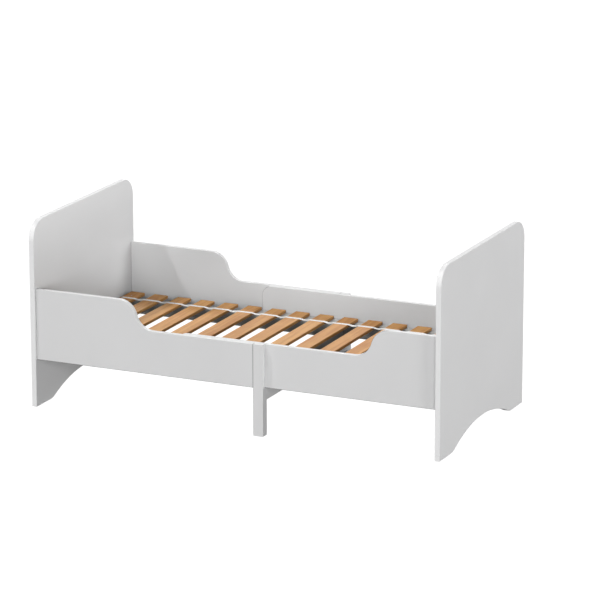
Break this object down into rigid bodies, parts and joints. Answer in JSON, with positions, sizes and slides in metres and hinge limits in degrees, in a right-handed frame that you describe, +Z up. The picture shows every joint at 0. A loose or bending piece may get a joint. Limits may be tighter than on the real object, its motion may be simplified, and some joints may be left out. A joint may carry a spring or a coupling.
{
  "type": "toddler bed",
  "caption": "Extendable toddler bed: rounded end boards with arched feet, stepped side panels that slide inside each other, middle legs and a slatted base spaced by ribbons.",
  "frame": {"origin": "on the floor, at the middle of the footprint at full length", "axes": "+X from headboard to footboard, +Y to the back, +Z up"},
  "size_m": [2.084, 1.017, 0.9],
  "materials": {
    "white_lacquer": "satin white paint on board",
    "slat_wood": "planed, oiled softwood",
    "ribbon": "woven white tape",
    "zinc": "die-cast zinc, matt",
    "steel": "zinc-plated",
    "dowel_wood": "fluted hardwood, raw"
  },
  "bodies": {
    "head_half": {"headboard": "white_lacquer", "front_outer_panel": "white_lacquer", "back_outer_panel": "white_lacquer", "front_middle_leg": "white_lacquer", "back_middle_leg": "white_lacquer", "cross_beam": "white_lacquer", "front_head_rail": "white_lacquer", "back_head_rail": "white_lacquer", "slat_01": "slat_wood", "front_ribbon": "ribbon", "back_ribbon": "ribbon", "head_cam_locks": "zinc", "head_cam_pins": "steel", "head_dowels": "dowel_wood", "first_slat_screws": "steel", "slat_01_staples": "steel"},
    "foot_half": {"footboard": "white_lacquer", "front_inner_panel": "white_lacquer", "back_inner_panel": "white_lacquer", "front_foot_rail": "white_lacquer", "back_foot_rail": "white_lacquer", "front_stop_block": "white_lacquer", "back_stop_block": "white_lacquer", "slat_16": "slat_wood", "foot_cam_locks": "zinc", "foot_cam_pins": "steel", "foot_dowels": "dowel_wood", "rail_screws": "steel", "stop_block_screws": "steel", "last_slat_screws": "steel", "slat_16_staples": "steel"},
    "slat_02": {"slat_02": "slat_wood", "slat_02_staples": "steel"},
    "slat_03": {"slat_03": "slat_wood", "slat_03_staples": "steel"},
    "slat_04": {"slat_04": "slat_wood", "slat_04_staples": "steel"},
    "slat_05": {"slat_05": "slat_wood", "slat_05_staples": "steel"},
    "slat_06": {"slat_06": "slat_wood", "slat_06_staples": "steel"},
    "slat_07": {"slat_07": "slat_wood", "slat_07_staples": "steel"},
    "slat_08": {"slat_08": "slat_wood", "slat_08_staples": "steel"},
    "slat_09": {"slat_09": "slat_wood", "slat_09_staples": "steel"},
    "slat_10": {"slat_10": "slat_wood", "slat_10_staples": "steel"},
    "slat_11": {"slat_11": "slat_wood", "slat_11_staples": "steel"},
    "slat_12": {"slat_12": "slat_wood", "slat_12_staples": "steel"},
    "slat_13": {"slat_13": "slat_wood", "slat_13_staples": "steel"},
    "slat_14": {"slat_14": "slat_wood", "slat_14_staples": "steel"},
    "slat_15": {"slat_15": "slat_wood", "slat_15_staples": "steel"}
  },
  "joints": [
    {"name": "foot_slide", "type": "slide", "parent": "head_half", "child": "foot_half", "axis": [1, 0, 0], "range_m": [-0.7, 0], "deforming": ["front_ribbon", "back_ribbon"]},
    {"name": "slat_02_slide", "type": "slide", "parent": "head_half", "child": "slat_02", "axis": [1, 0, 0], "range_m": [-0.0467, 0]},
    {"name": "slat_03_slide", "type": "slide", "parent": "head_half", "child": "slat_03", "axis": [1, 0, 0], "range_m": [-0.0934, 0]},
    {"name": "slat_04_slide", "type": "slide", "parent": "head_half", "child": "slat_04", "axis": [1, 0, 0], "range_m": [-0.14, 0]},
    {"name": "slat_05_slide", "type": "slide", "parent": "head_half", "child": "slat_05", "axis": [1, 0, 0], "range_m": [-0.1867, 0]},
    {"name": "slat_06_slide", "type": "slide", "parent": "head_half", "child": "slat_06", "axis": [1, 0, 0], "range_m": [-0.2334, 0]},
    {"name": "slat_07_slide", "type": "slide", "parent": "head_half", "child": "slat_07", "axis": [1, 0, 0], "range_m": [-0.28, 0]},
    {"name": "slat_08_slide", "type": "slide", "parent": "head_half", "child": "slat_08", "axis": [1, 0, 0], "range_m": [-0.3267, 0]},
    {"name": "slat_09_slide", "type": "slide", "parent": "head_half", "child": "slat_09", "axis": [1, 0, 0], "range_m": [-0.3734, 0]},
    {"name": "slat_10_slide", "type": "slide", "parent": "head_half", "child": "slat_10", "axis": [1, 0, 0], "range_m": [-0.4201, 0]},
    {"name": "slat_11_slide", "type": "slide", "parent": "head_half", "child": "slat_11", "axis": [1, 0, 0], "range_m": [-0.4667, 0]},
    {"name": "slat_12_slide", "type": "slide", "parent": "head_half", "child": "slat_12", "axis": [1, 0, 0], "range_m": [-0.5134, 0]},
    {"name": "slat_13_slide", "type": "slide", "parent": "head_half", "child": "slat_13", "axis": [1, 0, 0], "range_m": [-0.56, 0]},
    {"name": "slat_14_slide", "type": "slide", "parent": "head_half", "child": "slat_14", "axis": [1, 0, 0], "range_m": [-0.6067, 0]},
    {"name": "slat_15_slide", "type": "slide", "parent": "head_half", "child": "slat_15", "axis": [1, 0, 0], "range_m": [-0.6534, 0]}
  ],
  "couplings": [
    {"joint": "slat_02_slide", "follows": "foot_slide", "ratio": 0.066667},
    {"joint": "slat_03_slide", "follows": "foot_slide", "ratio": 0.13333},
    {"joint": "slat_04_slide", "follows": "foot_slide", "ratio": 0.2},
    {"joint": "slat_05_slide", "follows": "foot_slide", "ratio": 0.26667},
    {"joint": "slat_06_slide", "follows": "foot_slide", "ratio": 0.33333},
    {"joint": "slat_07_slide", "follows": "foot_slide", "ratio": 0.4},
    {"joint": "slat_08_slide", "follows": "foot_slide", "ratio": 0.46667},
    {"joint": "slat_09_slide", "follows": "foot_slide", "ratio": 0.53333},
    {"joint": "slat_10_slide", "follows": "foot_slide", "ratio": 0.6},
    {"joint": "slat_11_slide", "follows": "foot_slide", "ratio": 0.66667},
    {"joint": "slat_12_slide", "follows": "foot_slide", "ratio": 0.73333},
    {"joint": "slat_13_slide", "follows": "foot_slide", "ratio": 0.8},
    {"joint": "slat_14_slide", "follows": "foot_slide", "ratio": 0.86667},
    {"joint": "slat_15_slide", "follows": "foot_slide", "ratio": 0.93333}
  ]
}
